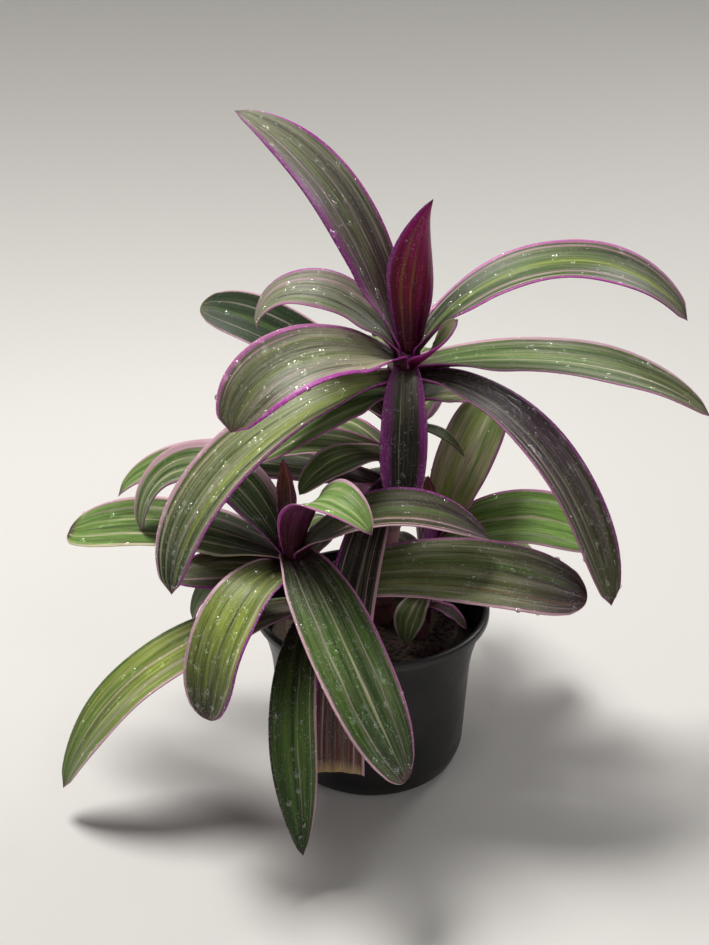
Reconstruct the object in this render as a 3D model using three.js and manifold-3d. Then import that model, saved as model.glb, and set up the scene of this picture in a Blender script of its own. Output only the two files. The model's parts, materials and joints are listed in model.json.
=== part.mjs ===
// A potted boat lily: a black nursery pot filled with soil, and five leafy shoots of striped,
// strap-shaped leaves with purple undersides, each shoot on its own fleshy stem.
//
// Millimetres and degrees, +Z up. The origin is the middle of the pot's base, where it stands, and
// -Y is the front. A heading is the way that a leaf points, seen from above: 0 is +X, 90 is +Y.
import * as THREE from "three";
import { mergeVertices } from "three/addons/utils/BufferGeometryUtils.js";
import Module from "manifold-3d";

const wasm = await Module();
wasm.setup();

// ---- Driving dimensions ----

const CLEARANCE = 0.3; // between pieces that touch

const POT = {
  height: 108,
  rimRadius: 75,
  lipHeight: 5,
  lipOverhang: 2.4,
  neckRadius: 64.5, // where the flared collar meets the body
  neckHeight: 72,
  bodyRadius: 61.5, // just above the rounded foot
  footRadius: 57,
  footRise: 9,
  wall: 1.8,
  floor: 2.2,
  sides: 40,
  drainHoles: 6,
  drainHoleRadius: 4.5,
  drainCircleRadius: 40,
};

const SOIL = { top: 91, bump: 1.6, sides: 32, rings: 6 };

const STEM = { sides: 10, step: 14, nodeSwell: 0.7, topNarrowing: 0.1 };

const LEAF = {
  rings: 13,
  around: 10, // points in a ring
  ribThickness: 1.7,
  marginThickness: 0.7,
  footWidth: 0.56, // share of the full width
  widestAt: 0.52, // share of the length
  footWrap: 58, // half of the angle that the foot hugs its stem by
  unwrapAt: 0.2, // share of the length where the blade has opened out
};

const GREEN = { color: 0x5d7a45, roughness: 0.42 };
const SILVER = { color: 0x6f7466, roughness: 0.42 };
const MAGENTA = { color: 0x8a1a6b, roughness: 0.4 };
const STEM_SKIN = { color: 0x6b3a52, roughness: 0.55 };
const BLACK_PLASTIC = { color: 0x101014, roughness: 0.38 };
const POTTING_SOIL = { color: 0x2a201a, roughness: 0.95 };

// Each leaf: at, its height on the stem; heading at its foot and tip; slope above the horizontal at
// its foot, a third, two thirds and its tip; long and wide; roll at its foot and tip, which is
// positive where its left side is raised; cup, how far its margins turn up, as half an arc; and
// taper, from 1.4 for a long point to 3.5 for a blunt end.
const SHOOTS = [
  {
    name: "tall",
    skin: SILVER,
    radius: 6.5,
    path: [[6, 2, 66], [9, 1, 130], [15, 0, 205], [20, 0, 283]],
    spear: { at: 280.5, heading: [290, 336], slope: [88, 85, 79, 68], roll: [0, 0],
      long: 79, wide: 34, cup: 48, taper: 1.7 },
    leaves: [
      { at: 265, heading: [306, 322], slope: [36, 38, 50, 62], roll: [2, 60],
        long: 47, wide: 20, cup: 46, taper: 2.2 },
      { at: 276, heading: [158, 160], slope: [74, 62, 44, 18], roll: [-24, -28],
        long: 164, wide: 40, cup: 20, taper: 1.9 },
      { at: 273, heading: [4, -4], slope: [58, 24, -12, -54], roll: [15, 30],
        long: 180, wide: 38, cup: 20, taper: 2.6 },
      { at: 267, heading: [205, 220], slope: [18, 4, -26, -70], roll: [-30, -40],
        long: 118, wide: 42, cup: 24, taper: 2.6 },
      { at: 257, heading: [102, 100], slope: [16, -2, -22, -44], roll: [0, 0],
        long: 145, wide: 34, cup: 22, taper: 1.8 },
      { at: 272, heading: [160, 164], slope: [56, 26, -14, -90], roll: [-20, -35],
        long: 111, wide: 33, cup: 24, taper: 1.8 },
      { at: 262, heading: [266, 268], slope: [-8, -72, -86, -90], roll: [0, 0],
        long: 84, wide: 27, cup: 24, taper: 3 },
      { at: 255, heading: [332, 314], slope: [14, -32, -56, -74], roll: [10, 12],
        long: 184, wide: 36, cup: 22, taper: 2.5 },
      { at: 261, heading: [14, 6], slope: [8, -5, -18, -42], roll: [15, 30],
        long: 204, wide: 39, cup: 20, taper: 2.2 },
      { at: 254, heading: [197, 229], slope: [2, -26, -47, -89], roll: [-12, -18],
        long: 192, wide: 42, cup: 28, taper: 2.3 },
      { at: 240, heading: [40, 34], slope: [6, -4, -16, -30], roll: [14, 28],
        long: 76, wide: 34, cup: 22, taper: 1.9 },
      { at: 248, heading: [76, 76], slope: [12, 0, -26, -50], roll: [0, 0],
        long: 145, wide: 36, cup: 22, taper: 1.9 },
      { at: 245, heading: [186, 184], slope: [0, -22, -34, -42], roll: [-20, -25],
        long: 90, wide: 34, cup: 22, taper: 1.9 },
      { at: 208, heading: [212, 216], slope: [20, 2, -20, -40], roll: [-5, -5],
        long: 66, wide: 31, cup: 24, taper: 1.9 },
      { at: 191, heading: [248.5, 265], slope: [0, -55, -80, -88], roll: [0, 0],
        long: 222, wide: 30, cup: 20, cut: 0.84 },
    ],
  },
  {
    name: "low",
    skin: GREEN,
    radius: 6,
    path: [[-20, -18, 66], [-30, -30, 100], [-42, -44, 140], [-48, -50, 180]],
    spear: { at: 176, heading: [110, 110], slope: [88, 88, 86, 84], roll: [0, 0],
      long: 46, wide: 13, cup: 55, taper: 1.5 },
    leaves: [
      { at: 174, heading: [304, 330], slope: [80, 52, 2, -52], roll: [0, 20],
        long: 86, wide: 32, cup: 36, taper: 1.8 },
      { at: 168, heading: [-8, 6], slope: [50, 22, -11, -38], roll: [10, 20],
        long: 118, wide: 34, cup: 24, taper: 2 },
      { at: 168, heading: [146.5, 192], slope: [57, 28, -34, -88], roll: [-20, -30],
        long: 142, wide: 35, cup: 24, taper: 2.2 },
      { at: 157, heading: [234, 234], slope: [30, -24, -64, -78], roll: [-5, -5],
        long: 110, wide: 36, cup: 22, taper: 3.4 },
      { at: 165, heading: [292, 331], slope: [10, -28, -48, -60], roll: [5, 5],
        long: 144, wide: 41, cup: 16, taper: 3 },
      { at: 162, heading: [155, 152], slope: [10, 0, -14, -21], roll: [-20, -35],
        long: 166, wide: 38, cup: 18, taper: 3.6 },
      { at: 143, heading: [-10, -4], slope: [22, 9.5, -6, -20], roll: [18, 40],
        long: 161, wide: 42, cup: 16, taper: 3.6 },
      { at: 155.5, heading: [72, 70], slope: [22, 0, -26, -50], roll: [0, 0],
        long: 96, wide: 30, cup: 22, taper: 2 },
      { at: 146, heading: [168, 196], slope: [6, -4, -44, -78], roll: [-10, -10],
        long: 76, wide: 28, cup: 20, taper: 2.2 },
      { at: 124, heading: [190, 202], slope: [-6, -24, -46, -68], roll: [-15, -20],
        long: 190, wide: 37, cup: 20, taper: 2.2 },
      { at: 120, heading: [260, 311], slope: [4, -34, -68, -84], roll: [0, 0],
        long: 148, wide: 26, cup: 20, taper: 2 },
      { at: 151.5, heading: [178, 182], slope: [8, 2, -6, -12], roll: [-15, -25],
        long: 68, wide: 30, cup: 20, taper: 2.2 },
    ],
  },
  {
    name: "back",
    skin: GREEN,
    radius: 6,
    path: [[2, 30, 66], [7, 38, 120], [13, 44, 180], [15, 46, 220]],
    spear: { at: 216, heading: [100, 80], slope: [86, 86, 84, 82], roll: [0, 0],
      long: 36, wide: 14, cup: 55, taper: 1.5 },
    leaves: [
      { at: 208, heading: [346, 344], slope: [18, -10, -34, -52], roll: [0, 0],
        long: 46, wide: 15, cup: 30, taper: 1.7 },
      { at: 213, heading: [164, 166], slope: [48, 36, 22, 0], roll: [-25, -45],
        long: 144, wide: 38, cup: 14, taper: 3.2 },
      { at: 190, heading: [176, 178], slope: [20, 4, -10, -24], roll: [-15, -20],
        long: 98, wide: 30, cup: 20, taper: 1.9 },
      { at: 192, heading: [74, 82], slope: [24, 4, -26, -50], roll: [0, 0],
        long: 140, wide: 36, cup: 22, taper: 2 },
      { at: 168, heading: [172, 180], slope: [16, 6, -6, -62], roll: [-15, -25],
        long: 189, wide: 36, cup: 22, taper: 2 },
      { at: 184, heading: [126, 122], slope: [22, -4, -32, -56], roll: [0, 0],
        long: 150, wide: 36, cup: 22, taper: 2 },
      { at: 158, heading: [100, 96], slope: [12, -14, -46, -70], roll: [0, 0],
        long: 140, wide: 36, cup: 20, taper: 2.2 },
    ],
  },
  {
    name: "side",
    skin: GREEN,
    radius: 6,
    path: [[30, 16, 66], [34, 22, 100], [38, 28, 130], [40, 30, 148]],
    spear: { at: 144, heading: [110, 90], slope: [86, 86, 84, 82], roll: [0, 0],
      long: 34, wide: 13, cup: 55, taper: 1.5 },
    leaves: [
      { at: 142, heading: [34, 36], slope: [70, 66, 60, 50], roll: [20, 35],
        long: 98, wide: 38, cup: 14, taper: 3 },
      { at: 137, heading: [-2, 4], slope: [28, 12, -14, -40], roll: [25, 40],
        long: 112, wide: 42, cup: 16, taper: 3 },
      { at: 132, heading: [80, 76], slope: [30, 4, -28, -56], roll: [0, 0],
        long: 142, wide: 36, cup: 20, taper: 2.2 },
      { at: 122, heading: [28, 24], slope: [16, -8, -36, -64], roll: [10, 10],
        long: 116, wide: 36, cup: 20, taper: 2.2 },
      { at: 116, heading: [118, 112], slope: [10, -14, -44, -66], roll: [0, 0],
        long: 120, wide: 34, cup: 20, taper: 2.2 },
    ],
  },
  {
    name: "young",
    skin: GREEN,
    radius: 4,
    path: [[32, -16, 72], [32, -15, 96], [33, -13, 124]],
    spear: { at: 120, heading: [80, 80], slope: [84, 84, 82, 80], roll: [0, 0],
      long: 30, wide: 11, cup: 55, taper: 1.5 },
    leaves: [
      { at: 118, heading: [240, 234], slope: [20, -30, -66, -80], roll: [0, 0],
        long: 34, wide: 20, cup: 24, taper: 1.8 },
      { at: 112, heading: [340, 344], slope: [14, -20, -40, -50], roll: [0, 0],
        long: 28, wide: 14, cup: 34, taper: 1.7 },
      { at: 106, heading: [60, 56], slope: [30, 10, 0, -10], roll: [0, 0],
        long: 40, wide: 16, cup: 24, taper: 1.8 },
    ],
  },
];

// ---- Shapes ----

const Y_AXIS = new THREE.Vector3(0, 1, 0);
const Z_AXIS = new THREE.Vector3(0, 0, 1);
const radians = THREE.MathUtils.degToRad;
const lerp = THREE.MathUtils.lerp;
const smoothstep = THREE.MathUtils.smoothstep;

// A value that passes through four others, at 0, 1/3, 2/3 and 1.
function throughFour([a, b, c, d], t) {
  const u = 3 * t;
  return (
    (a * (u - 1) * (u - 2) * (u - 3)) / -6 +
    (b * u * (u - 2) * (u - 3)) / 2 +
    (c * u * (u - 1) * (u - 3)) / -2 +
    (d * u * (u - 1) * (u - 2)) / 6
  );
}

// One closed body through rings of points, with a last point at its tip. The two halves of a ring are
// split into triangles alike, so that the two faces of a thin blade keep their distance. The first
// ring is closed by strips between its halves, which suits a flat ring and a round one.
function loft(rings, tip) {
  const sides = rings[0].length;
  const points = [...rings.flat(), tip];
  const faces = [];
  for (let i = 0; i + 1 < rings.length; i++) {
    for (let j = 0; j < sides; j++) {
      const a = i * sides + j;
      const b = i * sides + ((j + 1) % sides);
      if (j < sides / 2) faces.push(a, b, b + sides, a, b + sides, a + sides);
      else faces.push(a, b, a + sides, b, b + sides, a + sides);
    }
  }
  const last = (rings.length - 1) * sides;
  for (let j = 0; j < sides; j++) {
    faces.push(last + j, last + ((j + 1) % sides), points.length - 1);
  }
  for (let j = 0; j + 1 < sides / 2; j++) {
    const far = sides - 1 - j;
    faces.push(j, far, far - 1, j, far - 1, j + 1);
  }
  const geometry = new THREE.BufferGeometry();
  const coordinates = points.flatMap((p) => p.toArray());
  geometry.setAttribute("position", new THREE.Float32BufferAttribute(coordinates, 3));
  geometry.setIndex(faces);
  geometry.computeVertexNormals();
  return geometry;
}

// A leaf's blade in its own frame: its foot at the origin and its heading along +X.
function bladeGeometry(leaf) {
  const { long, cut } = leaf;
  const turn = leaf.heading[1] - leaf.heading[0];
  const span = cut ?? 1;
  const steps = 96;
  const place = new THREE.Vector3();
  const rings = [];
  let ringNumber = 0;
  let tip = null;
  const ringAt = Array.from({ length: LEAF.rings }, (_, i) => {
    const share = i / LEAF.rings;
    return cut ? (cut * i) / (LEAF.rings - 0.9) : lerp(share, Math.sin((share * Math.PI) / 2), 0.5);
  });
  for (let k = 0; k <= steps; k++) {
    const t = k / steps;
    const heading = radians(turn * t * t);
    const slope = radians(throughFour(leaf.slope, t));
    const along = new THREE.Vector3(1, 0, 0).applyAxisAngle(Y_AXIS, -slope).applyAxisAngle(Z_AXIS, heading);
    while (ringNumber < LEAF.rings && ringAt[ringNumber] <= t + 1e-9) {
      rings.push(bladeRing(leaf, t, place, along, heading));
      ringNumber += 1;
    }
    if (t >= span - 1e-9) {
      tip = place.clone();
      break;
    }
    place.addScaledVector(along, long / steps);
  }
  return loft(rings, tip);
}

function halfWidth(leaf, t) {
  const opening = Math.sin((Math.PI / 2) * Math.min(t / LEAF.widestAt, 1));
  const past = Math.max(0, (t - LEAF.widestAt) / (1 - LEAF.widestAt));
  const closing = lerp(0.8, 0.5, smoothstep(leaf.taper ?? 0, 1.8, 3)); // half an ellipse at a blunt end
  const ending = leaf.cut ? 1 : Math.pow(Math.max(0, 1 - Math.pow(past, leaf.taper)), closing);
  return (leaf.wide / 2) * lerp(LEAF.footWidth, 1, opening) * ending;
}

// The blade's cross-section: an arc of four chords for its upper face, and one for its underside.
function bladeRing(leaf, t, place, along, heading) {
  const side = new THREE.Vector3(-Math.sin(heading), Math.cos(heading), 0);
  const up = new THREE.Vector3().crossVectors(along, side);
  const unwrapped = smoothstep(t, 0, LEAF.unwrapAt);
  const roll = radians(lerp(leaf.roll[0], leaf.roll[1], smoothstep(t, 0, 1)) * unwrapped);
  const left = side.clone().multiplyScalar(Math.cos(roll)).addScaledVector(up, Math.sin(roll));
  const top = up.clone().multiplyScalar(Math.cos(roll)).addScaledVector(side, -Math.sin(roll));
  const half = halfWidth(leaf, t);
  const arc = radians(lerp(LEAF.footWrap, leaf.cup, unwrapped));
  const radius = half / arc;
  const faces = [[], []];
  for (const q of [1, 0.5, 0, -0.5, -1]) {
    const angle = q * arc;
    const skin = lerp(LEAF.ribThickness * lerp(1, 0.6, t), LEAF.marginThickness, q * q);
    const out = left.clone().multiplyScalar(-Math.sin(angle)).addScaledVector(top, Math.cos(angle));
    const middle = place.clone().addScaledVector(left, radius * Math.sin(angle));
    middle.addScaledVector(top, radius * (1 - Math.cos(angle)));
    faces[0].push(middle.clone().addScaledVector(out, skin / 2));
    faces[1].push(middle.clone().addScaledVector(out, -skin / 2));
  }
  return [...faces[0], ...faces[1].reverse()];
}

// A stem's rings: the middle of each, evenly spaced along the stem's curve, and its radius.
function stemRings(shoot) {
  const curve = new THREE.CatmullRomCurve3(shoot.path.map((p) => new THREE.Vector3(...p)));
  const count = Math.max(5, Math.round(curve.getLength() / STEM.step));
  return Array.from({ length: count + 1 }, (_, i) => {
    const scar = i % 2 ? STEM.nodeSwell : 0;
    const narrowing = 1 - STEM.topNarrowing * smoothstep(i / count, 0.9, 1);
    const radius = (shoot.radius - STEM.nodeSwell + scar) * narrowing;
    return { centre: curve.getPointAt(i / count), radius };
  });
}

// A fleshy stem, slightly swollen at each old leaf scar. grow makes it thicker, to cut its hole.
function stemGeometry(shoot, grow = 0) {
  const rings = stemRings(shoot).map(({ centre, radius }) =>
    Array.from({ length: STEM.sides }, (_, j) => {
      const angle = (2 * Math.PI * j) / STEM.sides;
      const reach = radius + grow;
      return centre.clone().add(new THREE.Vector3(Math.cos(angle) * reach, Math.sin(angle) * reach, 0));
    }),
  );
  const tip = new THREE.Vector3(...shoot.path.at(-1)).add(new THREE.Vector3(0, 0, 1.5 + grow));
  rings[0].forEach((p) => (p.z -= grow));
  return loft(rings, tip);
}

// The middle of a stem and its radius, at a height.
function stemAt(shoot, height) {
  const rings = stemRings(shoot);
  const above = rings.findIndex(({ centre }) => centre.z > height);
  const [low, high] = [rings[above - 1], rings[above]];
  const share = (height - low.centre.z) / (high.centre.z - low.centre.z);
  const centre = low.centre.clone().lerp(high.centre, share);
  return { centre, radius: lerp(low.radius, high.radius, share) };
}

function potProfile() {
  const p = POT;
  const lipBottom = p.height - p.lipHeight;
  const collarTop = p.rimRadius - p.lipOverhang;
  const outside = [
    [0, 0],
    [p.footRadius - 3, 0],
    [p.footRadius, 1.5],
    [lerp(p.footRadius, p.bodyRadius, 0.75), p.footRise * 0.45],
    [p.bodyRadius, p.footRise],
    [p.neckRadius, p.neckHeight],
    [lerp(p.neckRadius, collarTop, 0.28), lerp(p.neckHeight, lipBottom, 0.42)],
    [collarTop, lipBottom],
    [p.rimRadius, lipBottom + 0.8],
    [p.rimRadius, p.height - 1.2],
    [p.rimRadius - 1.2, p.height],
  ];
  const inside = [
    [collarTop - p.wall + 0.4, p.height],
    [collarTop - p.wall, lipBottom],
    [lerp(p.neckRadius, collarTop, 0.28) - p.wall, lerp(p.neckHeight, lipBottom, 0.42)],
    [p.neckRadius - p.wall, p.neckHeight],
    [p.bodyRadius - p.wall, p.footRise],
    [p.footRadius - p.wall, p.floor],
    [0, p.floor],
  ];
  return [outside, inside];
}

function latheAboutZ(profile, sides) {
  const geometry = new THREE.LatheGeometry(profile.map(([r, z]) => new THREE.Vector2(r, z)), sides);
  return geometry.rotateX(Math.PI / 2);
}

function solidOf(geometry) {
  const bare = geometry.clone();
  bare.deleteAttribute("normal");
  bare.deleteAttribute("uv");
  const merged = mergeVertices(bare, 1e-3);
  return new wasm.Manifold(
    new wasm.Mesh({
      numProp: 3,
      vertProperties: new Float32Array(merged.attributes.position.array),
      triVerts: new Uint32Array(merged.index.array),
    }),
  );
}

function geometryOf(solid) {
  const mesh = solid.getMesh();
  const geometry = new THREE.BufferGeometry();
  geometry.setAttribute("position", new THREE.BufferAttribute(new Float32Array(mesh.vertProperties), 3));
  geometry.setIndex(new THREE.BufferAttribute(new Uint32Array(mesh.triVerts), 1));
  geometry.computeVertexNormals();
  return geometry;
}

function potGeometry() {
  const [outside, inside] = potProfile();
  let pot = solidOf(latheAboutZ([...outside, ...inside], POT.sides));
  for (let i = 0; i < POT.drainHoles; i++) {
    const angle = (2 * Math.PI * (i + 0.5)) / POT.drainHoles;
    const drill = new THREE.CylinderGeometry(POT.drainHoleRadius, POT.drainHoleRadius, 4 * POT.floor, 10);
    drill.rotateX(Math.PI / 2);
    drill.translate(Math.cos(angle) * POT.drainCircleRadius, Math.sin(angle) * POT.drainCircleRadius, 0);
    pot = pot.subtract(solidOf(drill));
  }
  return geometryOf(pot);
}

// The soil fills the pot to just under its collar, with a lumpy top and a plain hole for each stem.
function soilGeometry() {
  const [, inside] = potProfile();
  const wall = inside.filter(([, z]) => z < SOIL.top);
  const [above, below] = [inside.find(([, z], i) => inside[i + 1]?.[1] < SOIL.top), wall[0]];
  const edge = lerp(below[0], above[0], (SOIL.top - below[1]) / (above[1] - below[1])) - CLEARANCE;
  const body = wall.map(([r, z]) => [Math.max(0, r - CLEARANCE), z === POT.floor ? z + CLEARANCE : z]);
  const top = Array.from({ length: SOIL.rings }, (_, i) => [(edge * i) / SOIL.rings, SOIL.top]);
  const geometry = latheAboutZ([...body.reverse(), [edge, SOIL.top], ...top.reverse()], SOIL.sides);
  const position = geometry.attributes.position;
  for (let i = 0; i < position.count; i++) {
    const [x, y, z] = [position.getX(i), position.getY(i), position.getZ(i)];
    const inner = 1 - smoothstep(Math.hypot(x, y), 0.75 * edge, edge);
    const lumps = Math.sin(x * 0.21 + 1) * Math.cos(y * 0.17) + 0.6 * Math.sin(x * 0.43 - y * 0.37);
    if (z > SOIL.top - 0.01) position.setZ(i, z + SOIL.bump * inner * lumps);
  }
  let soil = solidOf(geometry);
  for (const shoot of SHOOTS) soil = soil.subtract(solidOf(stemGeometry(shoot, CLEARANCE)));
  return geometryOf(soil);
}

// ---- The plant in its pot ----

function named(name, geometry, look) {
  const mesh = new THREE.Mesh(geometry, new THREE.MeshStandardMaterial({ metalness: 0, ...look }));
  mesh.name = name;
  return mesh;
}

// The foot of a leaf is seated against its stem, on the side that the leaf points to.
function leafMesh(name, shoot, leaf, look) {
  const mesh = named(name, bladeGeometry(leaf), look);
  const heading = radians(leaf.heading[0]);
  const { centre, radius } = stemAt(shoot, leaf.at);
  const reach = seatDistance(mesh.geometry.attributes.position, radius + CLEARANCE);
  mesh.position.copy(centre).add(new THREE.Vector3(Math.cos(heading) * reach, Math.sin(heading) * reach, 0));
  mesh.rotation.z = heading;
  return mesh;
}

// How far a leaf's foot stands from the middle of its stem, to keep out of a circle round the stem.
function seatDistance(position, circle) {
  const distances = Array.from({ length: LEAF.around }, (_, i) => {
    const acrossSquared = Math.max(0, circle ** 2 - position.getY(i) ** 2);
    return Math.sqrt(acrossSquared) - position.getX(i);
  });
  return Math.max(...distances);
}

function shootGroup(shoot) {
  const group = new THREE.Group();
  group.add(named(shoot.name + "_stem", stemGeometry(shoot), STEM_SKIN));
  group.add(leafMesh(shoot.name + "_spear", shoot, shoot.spear, MAGENTA));
  shoot.leaves.forEach((leaf, i) => {
    group.add(leafMesh(`${shoot.name}_leaf_${String(i + 1).padStart(2, "0")}`, shoot, leaf, shoot.skin));
  });
  return group;
}

const plant = new THREE.Group();
plant.add(named("pot", potGeometry(), BLACK_PLASTIC));
plant.add(named("soil", soilGeometry(), POTTING_SOIL));
SHOOTS.forEach((shoot) => plant.add(shootGroup(shoot)));

export default plant;
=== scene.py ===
"""A potted boat lily: striped, strap-shaped leaves with purple undersides, wet with fine drops of water,
on fleshy stems that stand in a black nursery pot of soil.

Every leaf and stem takes its form from its own solid in the packed frame, and is drawn finer round it.
Lengths are in metres unless a name or a comment says otherwise.
"""
import json
import math

import bmesh
import bpy
import numpy as np
from bpy.props import FloatProperty, FloatVectorProperty, IntProperty, PointerProperty
from mathutils import Matrix, Vector, noise

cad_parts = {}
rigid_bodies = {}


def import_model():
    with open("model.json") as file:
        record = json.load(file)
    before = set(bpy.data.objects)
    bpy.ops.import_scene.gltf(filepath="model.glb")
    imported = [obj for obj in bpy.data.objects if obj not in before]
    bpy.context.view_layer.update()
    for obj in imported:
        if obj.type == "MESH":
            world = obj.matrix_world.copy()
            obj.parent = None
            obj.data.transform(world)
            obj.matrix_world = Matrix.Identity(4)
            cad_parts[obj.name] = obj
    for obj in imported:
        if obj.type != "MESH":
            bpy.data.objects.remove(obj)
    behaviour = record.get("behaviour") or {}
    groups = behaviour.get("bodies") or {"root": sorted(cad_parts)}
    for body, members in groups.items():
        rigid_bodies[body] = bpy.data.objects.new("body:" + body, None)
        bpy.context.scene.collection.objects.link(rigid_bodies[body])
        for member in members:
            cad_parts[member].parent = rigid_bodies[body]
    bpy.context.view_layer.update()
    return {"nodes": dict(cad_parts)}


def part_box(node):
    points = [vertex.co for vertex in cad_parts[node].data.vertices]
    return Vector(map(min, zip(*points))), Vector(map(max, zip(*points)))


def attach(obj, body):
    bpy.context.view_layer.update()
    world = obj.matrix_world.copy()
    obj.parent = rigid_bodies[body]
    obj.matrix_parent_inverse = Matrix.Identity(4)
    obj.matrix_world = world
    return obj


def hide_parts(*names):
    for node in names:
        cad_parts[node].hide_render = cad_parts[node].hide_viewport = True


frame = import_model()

bl_info = {
    "name": "Potted boat lily",
    "version": (1, 0, 0),
    "blender": (4, 5, 0),
    "location": "3D View > Sidebar > Boat lily",
    "description": "Builds a potted boat lily round its packed frame",
    "category": "Object",
}

ROOT = "root"
MM = 0.001
MERGE = 0.02 * MM  # points of the loose CAD triangles closer than this are one point
RING = 10  # points in a ring of a lofted CAD node
UV = "blade"
SHOOTS = ("tall", "low", "back", "side", "young")

# Colours of the living plant, its pot and its soil, as sRGB hex.
COLOURS = {
    "leaf": ("4f6a2e", "Middle green of an older blade"),
    "bright": ("698c3c", "Fresh green of a young blade"),
    "lime": ("8a9a44", "Yellow-green along the middle of a blade"),
    "deep": ("25381c", "Dark green between pale stripes"),
    "olive": ("4c502b", "Dull green of a shaded blade"),
    "silver": ("84896e", "Silvery green of an upper blade"),
    "moss": ("7a8652", "Soft yellow-green under a silvery skin"),
    "pewter": ("5b5b4b", "Grey-green of an upper blade"),
    "dusk": ("4a3b43", "Purple-grey where pigment covers the green"),
    "ink": ("242119", "Almost black green-brown"),
    "rosewood": ("5a3531", "Red-brown of an old blade"),
    "cream": ("b6b18e", "Cream stripe"),
    "ivory": ("9c9484", "Greyish cream stripe"),
    "blush": ("bd98a2", "Pale pink stripe or margin"),
    "rose": ("b0689a", "Pink margin"),
    "magenta": ("a32f96", "Bright magenta margin"),
    "violet": ("83307c", "Violet margin"),
    "fuchsia": ("920a66", "Young blade that is still rolled up"),
    "crimson": ("741232", "Dark red of a rolled blade"),
    "wine": ("420a24", "Dark red-purple"),
    "plum": ("62204e", "Purple underside"),
    "amber": ("805035", "Brown-orange stripe of a young blade"),
    "rust": ("7c3f2c", "Dry tip"),
    "straw": ("a68c62", "Dry edge of a torn blade"),
    "stem_pink": ("8f4866", "Stem skin"),
    "stem_green": ("5f6b3f", "Green of the stem under its skin"),
    # White of clear water, also painted on the blades as glints of mist.
    "dew": ("f2f4f4", "Mist of fine drops"),
    "plastic": ("08080b", "Black plastic"),
    "soil": ("2a1f18", "Damp potting soil"),
    "bark": ("4a3524", "Bark in the potting soil"),
    "floor": ("cac8c4", "Studio floor"),
}


def linear(colour):
    """An sRGB hex colour as linear red, green, blue and alpha."""
    parts = [int(colour[i:i + 2], 16) / 255 for i in (0, 2, 4)]
    return [p / 12.92 if p <= 0.04045 else ((p + 0.055) / 1.055) ** 2.4 for p in parts] + [1.0]


# ---- How each blade is coloured ----


def look(ground, edges, stripes="", wet=0.5, veil=0.3, tip="wine"):
    """Reads how a blade is coloured.

    ground: colours at the foot, the middle and the tip.
    edges: colour and width of the band along the left margin, then along the right one.
    stripes: place, width and colour of each.
    wet: how densely drops of water stand on it. veil: how much silvery streaking lies over the green.
    Widths and places are hundredths of the blade's full width, counted from its left margin, seen with
    the upper face up and looking from foot to tip.
    """
    left, right = (band.split() for band in edges.split(","))
    rows = [row.split() for row in stripes.split(",") if row]
    return {
        "ground": ground.split(), "wet": wet, "veil": veil, "tip": tip,
        "edges": (left[0], float(left[1]) / 100, right[0], float(right[1]) / 100),
        "stripes": [(float(place) / 100, float(width) / 100, colour) for place, width, colour in rows],
    }


STRIPED_GREEN = look(
    "olive leaf bright", "blush 5, rose 5",
    "18 5 cream, 34 3 deep, 45 5 cream, 60 4 deep, 76 6 cream", wet=0.2)

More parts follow.
